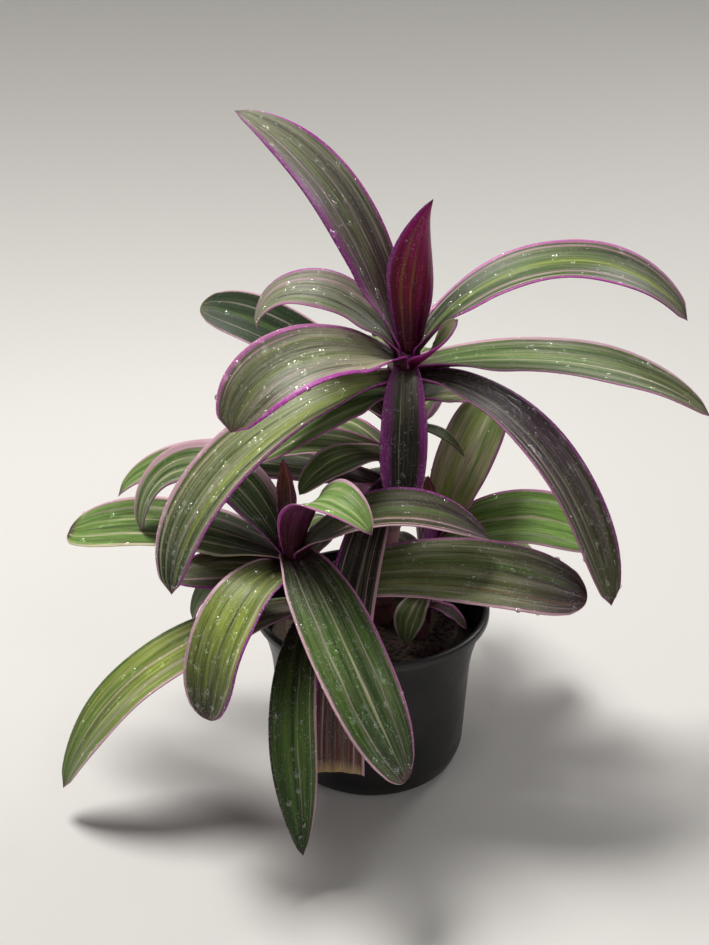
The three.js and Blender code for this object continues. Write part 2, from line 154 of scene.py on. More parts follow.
LOOKS = {
    "tall_leaf_01": look("wine bright cream", "cream 12, magenta 30", "30 10 cream, 50 6 leaf", 0.4),
    "tall_leaf_02": look(
        "dusk pewter silver", "violet 16, magenta 3",
        "21 4 rose, 29 5 pewter, 36 2 blush, 50 6 moss, 62 2 ivory, 74 6 dusk, 86 3 ivory", 1.2, 0.5),
    "tall_leaf_03": look(
        "deep leaf pewter", "rose 7, magenta 5",
        "11 6 blush, 22 5 pewter, 46 14 lime, 66 5 deep, 74 5 blush, 83 4 deep, 89 3 blush", 0.8, 0.4),
    # Painted light: the cream at its foot is lighter than the blade's own colour, standing for the light that
    # falls there.
    "tall_leaf_04": look(
        "cream silver olive", "magenta 10, rose 7",
        "15 5 blush, 22 5 ink, 34 7 ivory, 50 10 moss, 65 5 pewter, 77 11 moss, 88 5 blush", 2.6, 0.5),
    "tall_leaf_06": look(
        "pewter silver silver", "rose 6, magenta 3",
        "10 5 blush, 22 6 bright, 38 5 deep, 52 6 silver, 66 5 olive, 78 9 blush, 90 8 ivory", 1.2, 0.5),
    "tall_leaf_07": look(
        "pewter ink ink", "violet 17, violet 23",
        "30 3 dusk, 41 3 dusk, 50 2 olive, 60 1.5 ivory, 68 3 dusk", 1.0, 0.05),
    # Painted shadow: the ink at its foot stands for the shadow of the blade bases above it.
    "tall_leaf_08": look(
        "ink dusk olive", "violet 4, rose 3",
        "12 5 ink, 30 12 dusk, 50 5 olive, 57 2 ivory, 64 4 ink, 75 3 ivory, 87 3 ivory", 1.6, 0.2),
    "tall_leaf_09": look(
        "leaf leaf olive", "blush 6, rose 3",
        "13 7 silver, 25 6 deep, 40 10 moss, 55 4 cream, 66 7 deep, 78 4 ivory, 89 6 ink", 1.0, 0.45),
    # Painted light and shade: the lime at its foot is lighter than its own colour for the light on it, and
    # the deep green at its hanging end stands for the shade there.
    "tall_leaf_10": look(
        "lime moss deep", "violet 6, blush 6",
        "12 4 blush, 22 5 deep, 34 8 lime, 48 3 ivory, 60 5 deep, 72 6 silver, 87 5 cream", 2.6, 0.45),
    "tall_leaf_11": look("olive olive olive", "rust 4, rose 4", "40 10 leaf", 0.4),
    "tall_leaf_13": look(
        "leaf bright leaf", "rose 5, blush 4",
        "30 8 cream, 42 5 leaf, 56 5 deep, 75 6 lime", 0.4),
    "tall_leaf_14": look(
        "olive leaf leaf", "blush 5, blush 5",
        "20 5 cream, 36 5 deep, 50 3 ivory, 64 5 cream, 82 3 ivory", 0.5),
    "tall_leaf_15": look(
        "ink ink rosewood", "blush 5, violet 5",
        "13 5 ink, 22 3 blush, 42 5 ivory, 62 5 dusk, 84 3 blush", 0.4, 0.3, "straw"),
    "low_leaf_01": look(
        "bright bright bright", "blush 5, rose 6",
        "20 6 cream, 34 6 leaf, 48 5 cream, 58 5 leaf, 70 8 cream", 0.6),
    "low_leaf_02": look(
        "olive olive dusk", "violet 4, blush 4",
        "14 7 pewter, 26 8 ink, 46 10 leaf, 60 5 olive, 72 5 blush, 82 5 ink, 90 3 blush", 1.0, 0.2),
    "low_leaf_03": look(
        "deep leaf leaf", "violet 5, blush 14",
        "13 4 ivory, 26 6 deep, 40 5 cream, 52 7 deep, 66 4 cream, 77 5 deep", 1.2, 0.5),
    # Painted shade: the ink at its end stands for the shade where the end hangs down.
    "low_leaf_04": look(
        "olive lime ink", "violet 4, blush 4",
        "12 5 cream, 22 5 leaf, 34 4 lime, 45 5 deep, 58 5 lime, 70 4 leaf, 84 6 olive", 2.6, 0.25),
    # Painted shade: the ink at its foot stands for the shadow of the blades over it, and the deep green at
    # its end for the shade where it hangs down.
    "low_leaf_05": look(
        "ink leaf deep", "rose 3, blush 3",
        "14 4 leaf, 25 3 ivory, 36 4 deep, 46 3.5 cream, 58 6 deep, 72 3 ivory, 86 5 leaf", 2.0, 0.3),
    "low_leaf_06": look(
        "ink leaf bright", "cream 5, blush 5",
        "15 6 leaf, 28 6 cream, 44 6 deep, 58 4 cream, 68 5 leaf, 80 5 ivory", 0.7),
    "low_leaf_07": look(
        "olive moss dusk", "rose 3, blush 4",
        "12 3 ivory, 22 5 olive, 36 10 leaf, 50 3 ivory, 62 8 olive, 74 3 amber, 84 3 ivory", 1.8, 0.3),
    "low_leaf_09": look("olive leaf leaf", "rose 3, olive 4", "40 8 olive", 0.2),
    "low_leaf_10": look(
        "olive lime leaf", "blush 4, leaf 5",
        "12 5 leaf, 30 9 ivory, 46 5 olive, 60 5 cream, 72 7 leaf, 86 5 lime", 1.0, 0.4),
    # Painted shade: the deep green at its end stands for the shade where it hangs down.
    "low_leaf_11": look(
        "ink leaf deep", "blush 3, deep 5",
        "13 3 ivory, 30 8 leaf, 40 2 ivory, 50 6 deep, 64 10 leaf, 84 3 deep", 1.4, 0.05),
    "low_leaf_12": look("ink olive olive", "violet 6, blush 6", "30 5 blush, 50 5 deep, 70 5 ivory", 0.3),
    "back_leaf_01": look("deep leaf olive", "ivory 6, olive 5", "50 10 ivory", 0.2, 0.3, "rust"),
    "back_leaf_02": look(
        "ink deep deep", "blush 3, blush 3",
        "12 5 deep, 23 3 ivory, 50 12 leaf, 72 3 ivory, 86 6 deep", 0.2, 0.05, "olive"),
    "back_leaf_05": look(
        "dusk leaf bright", "rose 6, blush 5",
        "20 10 blush, 36 5 deep, 52 5 cream, 68 5 deep, 82 4 ivory", 0.5),
    # Painted light: both side blades are given lighter greens than their own, standing for the light that
    # falls on them.
    "side_leaf_01": look(
        "lime cream bright", "blush 4, rose 3",
        "20 8 cream, 40 14 lime, 58 7 cream, 72 8 bright, 87 6 lime", 0.2, 0.1),
    "side_leaf_02": look(
        "bright bright bright", "rose 3, blush 3",
        "18 8 silver, 32 7 leaf, 48 6 cream, 62 7 leaf, 80 6 silver", 0.3, 0.2),
    "young_leaf_01": look("olive leaf leaf", "ivory 8, ivory 8", "30 8 cream, 55 10 cream", 0.2),
    "young_leaf_02": look("wine dusk olive", "rose 12, rose 12", "", 0.2),
}

UNDERSIDE = look(
    "wine plum plum", "magenta 5, magenta 5",
    "20 5 wine, 38 3 violet, 50 5 wine, 63 3 violet, 80 5 wine", 0.0, 0.1)
ROLLED = look(
    "wine crimson fuchsia", "magenta 7, violet 6",
    "14 10 magenta, 25 8 fuchsia, 34 3 wine, 42 8 fuchsia, 50 3 wine, "
    "59 9 amber, 67 3 wine, 75 8 amber, 86 5 wine", 0.3, 0.0)
ROLLED_BROWN = look("wine rosewood rust", "plum 10, plum 10", "30 6 wine, 55 6 wine, 75 5 rose", 0.0, 0.1)
YOUNG_MAGENTA = look("wine fuchsia fuchsia", "magenta 10, magenta 10", "50 10 wine", 0.0, 0.0)
OUTER = {"tall_spear": ROLLED, "tall_leaf_01": YOUNG_MAGENTA}
for shoot in SHOOTS[1:]:
    OUTER[shoot + "_spear"] = ROLLED_BROWN
for spear in OUTER:
    LOOKS.setdefault(spear, OUTER[spear])


# ---- Settings that a user would change ----


def colour_settings():
    """A property for each colour of the plant, its pot and its soil."""
    return {
        name: FloatVectorProperty(
            name=name.replace("_", " ").capitalize(), description=text, subtype="COLOR", size=4, min=0, max=1,
            default=linear(colour))
        for name, (colour, text) in COLOURS.items()
    }


ColourSettings = type(
    "ColourSettings", (bpy.types.PropertyGroup,),
    {"__doc__": "The colours of the plant, its pot and its soil.", "__annotations__": colour_settings()},
)


def length(name, description, default, **more):
    return FloatProperty(
        name=name, description=description, default=default, unit="LENGTH", min=0, precision=4, **more)


class BladeSettings(bpy.types.PropertyGroup):
    """How finely the blades are drawn, and what is added to the form of their solids."""

    rows: IntProperty(name="Rows", description="Rows of faces from foot to tip", default=72, min=8)
    columns: IntProperty(name="Columns", description="Columns of faces across one face", default=18, min=4)
    wave: length("Wave", "How far a margin waves up and down", 0.4 * MM)
    keel: length("Keel", "Depth of the channel over the midrib", 0.45 * MM)
    sheath: length("Sheath", "How far a foot runs down its stem", 9 * MM)


class DropSettings(bpy.types.PropertyGroup):
    """The drops of water on the blades."""

    density: FloatProperty(
        name="Density", description="Fine drops on each square metre", default=60000, min=0)
    smallest: length("Smallest", "Radius of the finest drops", 0.12 * MM)
    largest: length("Largest", "Radius of the largest drops", 2.1 * MM)
    seed: IntProperty(name="Seed", description="Draw of their places and sizes", default=4)


class StemSettings(bpy.types.PropertyGroup):
    """The fleshy stems."""

    scar: length("Scar", "Height of the ring that an old leaf leaves", 0.35 * MM)
    young: length("Young", "How far down from its top a stem is violet", 26 * MM)
    neck: length("Neck", "How far down from its top a stem narrows towards its spear", 9 * MM)
    sides: IntProperty(name="Sides", description="Columns of faces round a stem", default=32, min=8)


class PotSettings(bpy.types.PropertyGroup):
    """The nursery pot."""

    wall: length("Wall", "Thickness of the plastic", 1.6 * MM)
    lip: length("Lip", "Height of the rolled lip", 5 * MM)
    sides: IntProperty(name="Sides", description="Columns of faces round the pot", default=160, min=24)


class SoilSettings(bpy.types.PropertyGroup):
    """The potting soil."""

    crumb: length("Crumb", "Usual radius of a crumb", 1.1 * MM)
    crumbs: IntProperty(name="Crumbs", description="Crumbs on the surface", default=2600, min=0)
    seed: IntProperty(name="Seed", description="Draw of the crumbs", default=11)


class StageSettings(bpy.types.PropertyGroup):
    """The studio."""

    floor: length("Floor", "Radius of the flat paper", 1.0)
    bend: length("Bend", "Radius of the turn up to the wall", 2.6)
    key: FloatProperty(
        name="Key light", description="Power of the main light", default=62, min=0, unit="POWER")


# ---- Small tools ----


def settings():
    return bpy.context.scene.boat_lily


def feed(tree, node, inputs):
    """Sets each of a node's inputs to a value, or links it to a socket."""
    for key, value in inputs.items():
        if isinstance(value, bpy.types.NodeSocket):
            tree.links.new(value, node.inputs[key])
        else:
            node.inputs[key].default_value = value


def add(tree, kind, inputs=None, **properties):
    """Adds a node, with its properties set and its inputs fed."""
    made = tree.nodes.new(kind)
    for name, value in properties.items():
        setattr(made, name, value)
    feed(tree, made, inputs or {})
    return made


def calc(tree, operation, *inputs):
    return add(tree, "ShaderNodeMath", dict(enumerate(inputs)), operation=operation).outputs[0]


def scaled(tree, vector, factor):
    return add(tree, "ShaderNodeVectorMath", {0: vector, 3: factor}, operation="SCALE").outputs[0]


def spread(tree, source, low, high, least=0.0, most=1.0):
    """A value moved from the range low to high into the range least to most."""
    return add(tree, "ShaderNodeMapRange", {0: source, 1: low, 2: high, 3: least, 4: most}).outputs[0]


def blend(tree, share, under, over):
    return add(tree, "ShaderNodeMix", {0: share, 6: under, 7: over}, data_type="RGBA").outputs[2]


def cloud(tree, place, scale, detail, roughness=0.5):
    inputs = {"Vector": place, "Scale": scale, "Detail": detail, "Roughness": roughness}
    return add(tree, "ShaderNodeTexNoise", inputs).outputs[0]


def bump(tree, strength, depth, height, **under):
    inputs = {"Strength": strength, "Distance": depth, "Height": height, **under}
    return add(tree, "ShaderNodeBump", inputs).outputs[0]


def object_place(tree):
    return add(tree, "ShaderNodeTexCoord").outputs["Object"]


def uv_place(tree):
    """Places across and along the piece, as its UV map has them."""
    uv = add(tree, "ShaderNodeUVMap", uv_map=UV).outputs[0]
    return add(tree, "ShaderNodeSeparateXYZ", {0: uv}).outputs[:2]


def new_material(name):
    material = bpy.data.materials.new(name)
    material.use_nodes = True
    tree = material.node_tree
    return material, tree, tree.nodes["Principled BSDF"]


def mesh_object(name, mesh, materials, replaced=()):
    """A finished piece: it rides with the whole plant and stands for the CAD nodes that it replaces."""
    piece = bpy.data.objects.new(name, mesh)
    bpy.context.scene.collection.objects.link(piece)
    for material in materials:
        mesh.materials.append(material)
    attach(piece, ROOT)
    if replaced:
        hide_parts(*replaced)
    return piece


def smooth_mesh(name, points, faces):
    mesh = bpy.data.meshes.new(name)
    mesh.from_pydata([tuple(p) for p in points], [], faces)
    mesh.shade_smooth()
    return mesh


def ring(radius, height, sides):
    """Points of a level circle round the z axis."""
    turns = [2 * math.pi * j / sides for j in range(sides)]
    return [(radius * math.cos(turn), radius * math.sin(turn), height) for turn in turns]


def ring_faces(rows, sides, start=0):
    """Faces that join each ring of points to the next one. start is the number of the first point."""
    near = [start + i * sides for i in range(rows - 1)]
    return [
        (a + j, a + (j + 1) % sides, a + sides + (j + 1) % sides, a + sides + j)
        for a in near for j in range(sides)
    ]


def interpolate(values, at, wanted):
    """Values given at rising places, read at the wanted places on a smooth curve through them."""
    slopes = np.gradient(values, at, axis=0)
    i = np.clip(np.searchsorted(at, wanted, side="right") - 1, 0, len(at) - 2)
    shape = (len(wanted),) + (1,) * (values.ndim - 1)
    span = (at[i + 1] - at[i]).reshape(shape)
    t = ((wanted - at[i]) / (at[i + 1] - at[i])).reshape(shape)
    return (
        (2 * t**3 - 3 * t**2 + 1) * values[i] + (t**3 - 2 * t**2 + t) * span * slopes[i]
        + (3 * t**2 - 2 * t**3) * values[i + 1] + (t**3 - t**2) * span * slopes[i + 1]
    )


def rings_of(node):
    """The rings of points of a lofted CAD node, from its foot, and the point at its tip."""
    loft = bmesh.new()
    loft.from_mesh(frame["nodes"][node].data)
    bmesh.ops.remove_doubles(loft, verts=loft.verts, dist=MERGE)
    tip = max(loft.verts, key=lambda v: len(v.link_edges))
    steps = {tip: 0}
    front = [tip]
    while front:
        ahead = []
        for vertex in front:
            for edge in vertex.link_edges:
                other = edge.other_vert(vertex)
                if other not in steps:
                    steps[other] = steps[vertex] + 1
                    ahead.append(other)
        front = ahead
    following = {}
    for face in loft.faces:
        for a, b, c in ((face.verts[i], face.verts[i - 2], face.verts[i - 1]) for i in range(3)):
            if steps[a] == steps[b] == steps[c] + 1:
                following[a] = b
    rings = []
    for step in range(max(steps.values()), 0, -1):
        vertex = min((v for v in steps if steps[v] == step), key=lambda v: tuple(v.co))
        ring = []
        for _ in range(RING):
            ring.append(vertex.co[:])
            vertex = following[vertex]
        ring = np.array(ring)
        if rings:
            turns = [np.roll(ring, -k, axis=0) for k in range(RING)]
            ring = min(turns, key=lambda turned: ((turned - rings[-1]) ** 2).sum())
        rings.append(ring)
    point = np.array(tip.co)
    loft.free()
    return np.array(rings), point


# ---- Blades ----

# Blades whose end is round. The others end in a point.
BLUNT = (
    "low_leaf_04", "low_leaf_05", "low_leaf_06", "low_leaf_07", "back_leaf_02", "side_leaf_01",
    "side_leaf_02",
)


def blade_faces(rings):
    """The upper and lower face of a blade, each as rows of five points from its left margin."""
    middle = rings[len(rings) // 2]
    gaps = np.linalg.norm(middle - np.roll(middle, -1, axis=0), axis=1)
    narrow = int(np.argmin(gaps + np.roll(gaps, RING // 2)))
    starts = [(narrow + 1) % RING, (narrow + 1 + RING // 2) % RING]

    def sag(start):
        turned = np.roll(middle, -start, axis=0)
        margins = turned[[0, 4, 5, 9]].mean(axis=0)
        return np.linalg.norm(turned[2] - margins)

    turned = np.roll(rings, -min(starts, key=sag), axis=1)
    return turned[:, :5], turned[:, :4:-1]


def across_weights(columns):
    """How far each of five evenly spaced points counts at each column, on a curve through all five."""
    given = np.array([1, 0.5, 0, -0.5, -1])
    places = np.linspace(1, -1, columns + 1)
    weights = [
        np.prod([(places - given[k]) / (given[j] - given[k]) for k in range(5) if k != j], axis=0)
        for j in range(5)
    ]
    return places, np.array(weights).T


def unit(vectors):
    return vectors / np.maximum(np.linalg.norm(vectors, axis=-1, keepdims=True), 1e-9)


def stem_at(node, height):
    """The middle and the radius of a CAD stem at a height."""
    rings, _ = rings_of(node)
    centres = rings.mean(axis=1)
    radii = np.linalg.norm(rings - centres[:, None], axis=2).mean(axis=1)
    centre = [np.interp(height, centres[:, 2], centres[:, k]) for k in range(2)]
    return np.array(centre + [height]), float(np.interp(height, centres[:, 2], radii))


def blade_sections(node, number):
    """Middle points and half-thickness vectors of a blade, in rows from the end of its sheath to its tip."""
    blade = settings().blade
    rings, tip = rings_of(node)
    upper, lower = blade_faces(rings)
    middle = (upper + lower) / 2
    thick = (upper - lower) / 2
    spine = np.vstack([middle[:, 2], tip])
    half = np.linalg.norm(middle[:, 0] - middle[:, 4], axis=1) / 2
    at = np.concatenate([[0], np.cumsum(np.linalg.norm(np.diff(spine, axis=0), axis=1))])
    at = at / at[-1]
    last = at[-2]
    torn = last > 0.985
    t = 1 - (1 - np.linspace(0, 1, blade.rows + 1)) ** 1.5
    shape = (middle - spine[:-1, None]) / half[:, None, None]
    shape = interpolate(np.concatenate([shape, shape[-1:]]), at, t)
    thick = interpolate(np.concatenate([thick, thick[-1:]]), at, t)
    width = interpolate(np.append(half, half[-1] if torn else 0.0), at, np.minimum(t, last))
    if not torn:
        closing = np.clip((1 - t) / (1 - last), 0.003, 1)
        width = width * closing ** (0.5 if node in BLUNT else 1.1)
        thick = thick * np.clip(np.sqrt(closing), 0.2, 1)[:, None, None]
    places, weights = across_weights(blade.columns)
    line = interpolate(spine, at, t)
    middle = line[:, None] + width[:, None, None] * np.einsum("cj,tjk->tck", weights, shape)
    thick = np.einsum("cj,tjk->tck", weights, thick)
    phase = 2.4 * number
    rise = blade.wave * (width / half.max())[:, None] * places[None] ** 2 * np.sin(
        (3.5 + number % 3) * t[:, None] * math.pi + phase + 1.3 * np.sign(places)[None])
    rise = rise * np.clip(t * 6, 0, 1)[:, None]
    middle = middle + unit(thick) * rise[..., None]
    if torn:
        ragged = 2.2 * (1 + places) / 2 + 0.25 * np.sin(places * 9 + 1) + 0.15 * np.sin(places * 23) + 0.3
        back = unit(middle[-1] - middle[-12]) * MM
        pull = np.clip((t - 0.9) / 0.1, 0, 1) ** 2
        middle = middle - pull[:, None, None] * ragged[None, :, None] * back
    return places, t, middle, thick


SHEATH_GAP = 0.75 * MM  # from the stem to the middle of a sheath
SHEATH_REACH = math.radians(72)  # how far round the stem each side of a sheath goes
SHEATH_STEPS = (0, 0.2, 0.4, 0.6, 0.8, 0.92)  # places of its rows, from its end up to the foot


def sheath_rows(node, places, middle, thick):
    """Rows that carry a blade's foot round its stem and a little way down it."""
    drop = settings().blade.sheath
    foot = middle[0]
    centre, radius = stem_at(node.split("_")[0] + "_stem", float(foot[len(foot) // 2][2]))
    ahead = foot[len(foot) // 2] - centre
    angles = math.atan2(ahead[1], ahead[0]) + places * SHEATH_REACH
    around = np.stack([np.cos(angles), np.sin(angles), np.zeros_like(angles)], axis=1)
    close = radius + SHEATH_GAP
    low = centre + close * around
    low[:, 2] -= drop * (1 - 0.35 * places**2)
    bend = centre + (close + 0.5 * MM) * around
    bend[:, 2] = foot[:, 2] - 1.5 * MM
    rows = []
    normals = []
    for s in SHEATH_STEPS:
        rows.append((1 - s) ** 2 * low + 2 * s * (1 - s) * bend + s**2 * foot)
        normals.append(unit((1 - s) * -around + s * unit(thick[0])) * (0.35 + 0.25 * s) * MM)
    return np.array(rows), np.array(normals)


def blade_mesh(name, node, number):
    places, t, middle, thick = blade_sections(node, number)
    low, low_thick = sheath_rows(node, places, middle, thick)
    sheath = len(low)
    middle = np.concatenate([low, middle])
    thick = np.concatenate([low_thick, thick])
    along = np.concatenate([np.linspace(-0.06, -0.01, sheath), t])
    keel = settings().blade.keel * np.exp(-((places / 0.09) ** 2)) * np.clip(along * 5, 0, 1)[:, None]
    keel = keel * np.clip((1 - along) * 6, 0, 1)[:, None]
    normal = unit(thick)
    upper = middle + thick - normal * keel[..., None]
    lower = middle - thick - 0.6 * normal * keel[..., None]
    edge = 0.8 * np.linalg.norm(thick[:, [0, -1]], axis=2, keepdims=True)
    outward = unit(middle[:, [0, -1]] - middle[:, [1, -2]])
    margins = middle[:, [0, -1]] + outward * edge
    rows = np.concatenate([upper, margins[:, 1:], lower[:, ::-1], margins[:, :1]], axis=1)
    count, size = rows.shape[:2]
    columns = len(places)
    u = (1 - places) / 2
    u_ring = np.concatenate([u, [1], u[::-1], [0]])
    faces = ring_faces(count, size)
    uvs, slots = [], []
    for low_end, high_end in zip(along, along[1:]):
        for j in range(size):
            here, there = u_ring[j], u_ring[(j + 1) % size]
            uvs += [(here, low_end), (there, low_end), (there, high_end), (here, high_end)]
            slots.append(1 if columns < j < 2 * columns else 0)
    for start, end in ((0, along[0]), ((count - 1) * size, along[-1])):
        for j in range(columns - 1):
            near = (start + j, start + j + 1, start + 2 * columns - j - 1, start + 2 * columns - j)
            faces.append(near if start else near[::-1])
            uvs += [(u[j], end)] * 4
            slots.append(0)
        for corner in ((columns - 1, columns, columns + 1), (2 * columns, 2 * columns + 1, 0)):
            corner = tuple(start + c for c in corner)
            faces.append(corner if start else corner[::-1])
            uvs += [(0.5, end)] * 3
            slots.append(0)
    mesh = smooth_mesh(name, rows.reshape(-1, 3), faces)
    layer = mesh.uv_layers.new(name=UV)
    layer.data.foreach_set("uv", np.array(uvs, np.float32).ravel())
    mesh.polygons.foreach_set("material_index", slots)
    return mesh


def cross_ramp(ramp, blade_look, colours):
    """Fills a colour ramp with a blade's margins and stripes. Its alpha is how far they hide the ground."""
    left, left_width, right, right_width = blade_look["edges"]
    stops = [(0, left, 1), (left_width * 0.75, left, 1), (left_width * 1.25, left, 0)]
    for place, width, colour in blade_look["stripes"]:
        stops += [(place - 0.8 * width, colour, 0), (place, colour, 0.9), (place + 0.8 * width, colour, 0)]
    stops += [(1 - right_width * 1.25, right, 0), (1 - right_width * 0.75, right, 1)]
    ramp.color_ramp.interpolation = "EASE"
    elements = ramp.color_ramp.elements
    while len(elements) > 1:
        elements.remove(elements[-1])
    for i, (place, colour, strength) in enumerate(sorted(stops, key=lambda stop: stop[0])):
        stop = elements[0] if i == 0 else elements.new(min(max(place, 0), 1))
        stop.position = min(max(place, 0), 1)
        stop.color = (*getattr(colours, colour)[:3], strength)


def blade_material(name, blade_look, number, roughness, gloss=0.2):
    """Living leaf: a waxy skin over green tissue, with pigment in lengthwise stripes and a soft sheen."""
    colours = settings().colours
    material, tree, shader = new_material(name)
    across, along = uv_place(tree)
    place = object_place(tree)

    def streaks(fine, long, detail, offset):
        """Noise drawn out along the blade, which is fine streaks wide and long streaks long."""
        x, y = calc(tree, "MULTIPLY", across, fine), calc(tree, "MULTIPLY", along, long)
        spot = add(tree, "ShaderNodeCombineXYZ", {0: x, 1: y, 2: 7.3 * number + offset}).outputs[0]
        return cloud(tree, spot, 1.0, detail, 0.6)

    def times(one, other):
        return calc(tree, "MULTIPLY", one, other)

    broad = streaks(8, 2.2, 3, 9.1)
    middling = streaks(26, 3.5, 3, 5.5)
    fine = streaks(75, 5, 3, 3.7)

    # The stripes wander a little, as the veins that they follow do.
    wander = spread(tree, streaks(1.5, 4, 2, 0.1), 0, 1, -0.03, 0.03)
    jitter = spread(tree, middling, 0, 1, -0.02, 0.02)
    ramp = add(tree, "ShaderNodeValToRGB", {0: calc(tree, "ADD", calc(tree, "ADD", across, wander), jitter)})
    cross_ramp(ramp, blade_look, colours)

    # The ground along the blade, from foot to tip. Where LOOKS says so, a foot or an end colour is painted
    # light or painted shade.
    ground = add(tree, "ShaderNodeValToRGB", {0: along})
    elements = ground.color_ramp.elements
    foot, body, end = blade_look["ground"]
    stops = ((0.0, "wine"), (0.1, foot), (0.48, body), (0.95, end), (0.99, blade_look["tip"]))
    for i, (spot, colour) in enumerate(stops):
        stop = elements[i] if i < 2 else elements.new(spot)
        stop.position = spot
        stop.color = getattr(colours, colour)

    # Pale silvery streaks over the green, partly the blade's own grey tone and partly a painted sheen, with
    # darker green between them.
    veil = times(spread(tree, middling, 0.42, 0.66), blade_look["veil"])
    tissue = blend(tree, veil, ground.outputs[0], colours.ivory)
    tissue = scaled(tree, tissue, spread(tree, broad, 0.3, 0.7, 0.6, 1.32))

    # A stripe fades in and out along the blade, but a margin keeps its colour.
    edge = calc(tree, "ABSOLUTE", calc(tree, "SUBTRACT", across, 0.5))
    fading = spread(tree, middling, 0.34, 0.6, 0.3, 1.0)
    fading = calc(tree, "MAXIMUM", fading, spread(tree, edge, 0.38, 0.44))
    ends = times(spread(tree, along, 0.02, 0.3, 0.35, 1), spread(tree, along, 0.75, 1.0, 1, 0.5))
    fading = times(fading, calc(tree, "MAXIMUM", ends, spread(tree, edge, 0.4, 0.46)))
    striped = blend(tree, times(ramp.outputs[1], fading), tissue, ramp.outputs[0])

    # Fine parallel veins, about two to the millimetre: lighter and darker lines that run the whole length.
    veined = scaled(tree, striped, spread(tree, fine, 0.3, 0.7, 0.55, 1.38))

    # Painted glints of dew along the margins, where their fine teeth catch it.
    cells = cloud(tree, place, 900.0, 2.0)
    dew_glint = times(spread(tree, edge, 0.43, 0.49), spread(tree, cells, 0.5, 0.66, 0, 0.5))
    veined = blend(tree, dew_glint, veined, colours.blush)

    # Painted glints of the fine mist: a few bright specks to the millimetre, drawn as coarse as they need to
    # show.
    glint_specks = add(tree, "ShaderNodeTexVoronoi", {"Vector": place, "Scale": 1500.0, "Randomness": 1.0})
    chance = add(tree, "ShaderNodeSeparateColor", {0: glint_specks.outputs["Color"]}).outputs[0]
    patches = cloud(tree, place, 90.0, 2.0)
    reach = times(spread(tree, chance, 0.4, 1.0, 0.0, 0.44), spread(tree, patches, 0.42, 0.58, 0.4, 1))
    mist_glint = calc(tree, "LESS_THAN", glint_specks.outputs["Distance"], reach)
    strength = 0.12 + 0.12 * min(blade_look["wet"], 1.5)

    veins = bump(tree, 0.6, 0.25 * MM, fine)
    feed(tree, shader, {
        # The base colour carries the painted glints of mist.
        "Base Color": blend(tree, times(mist_glint, strength), veined, colours.dew),
        "Roughness": spread(tree, broad, 0.3, 0.7, roughness - 0.06, roughness + 0.1),
        "IOR": 1.45,
        "Specular IOR Level": gloss,
        "Normal": bump(tree, 0.4, 0.12 * MM, cells, Normal=veins),
    })
    return material


class BOATLILY_OT_blades(bpy.types.Operator):
    """Build every opened blade and every rolled young blade"""

    bl_idname = "boatlily.blades"
    bl_label = "Blades"

    def execute(self, context):
        underside = blade_material("Violet leaf underside", UNDERSIDE, 3, 0.46)
        outer = {}
        nodes = sorted(n for n in frame["nodes"] if "_leaf_" in n or n.endswith("_spear"))
        for number, node in enumerate(nodes):
            upper_look = LOOKS.get(node, STRIPED_GREEN)
            shine = 0.46 - 0.06 * min(upper_look["wet"], 2)
            upper = blade_material("Leaf upper face " + node, upper_look, number, shine)
            lower = underside
            if node in OUTER:
                lower = blade_material("Young leaf outer face " + node, OUTER[node], number, 0.36, 0.15)
            mesh = blade_mesh("fine_" + node, node, number)
            mesh_object("fine_" + node, mesh, [upper, lower], [node])
        return {"FINISHED"}


# ---- Drops of water ----


def water_material(name, gloss):
    """Water: a clear lens that shows the leaf under it, with a small sharp highlight.

    A real highlight is finer than the render can show, so a coat of a higher index, gloss, draws it brighter.
    """
    material, tree, shader = new_material(name)
    feed(tree, shader, {
        "Base Color": settings().colours.dew, "IOR": 1.333, "Roughness": 0.05, "Transmission Weight": 1.0,
        "Coat Weight": 1.0, "Coat IOR": gloss, "Coat Roughness": 0.08,
    })
    return material


def input_socket(tree, name, kind, default):
    socket = tree.interface.new_socket(name=name, in_out="INPUT", socket_type=kind)
    socket.default_value = default
    return socket.identifier


def geometry_tree(name):
    tree = bpy.data.node_groups.new(name, "GeometryNodeTree")
    tree.interface.new_socket(name="Geometry", in_out="INPUT", socket_type="NodeSocketGeometry")
    tree.interface.new_socket(name="Geometry", in_out="OUTPUT", socket_type="NodeSocketGeometry")
    return tree


SCATTER_INPUTS = ("Density", "Smallest", "Largest", "Bias", "Shortest", "Longest", "Seed")


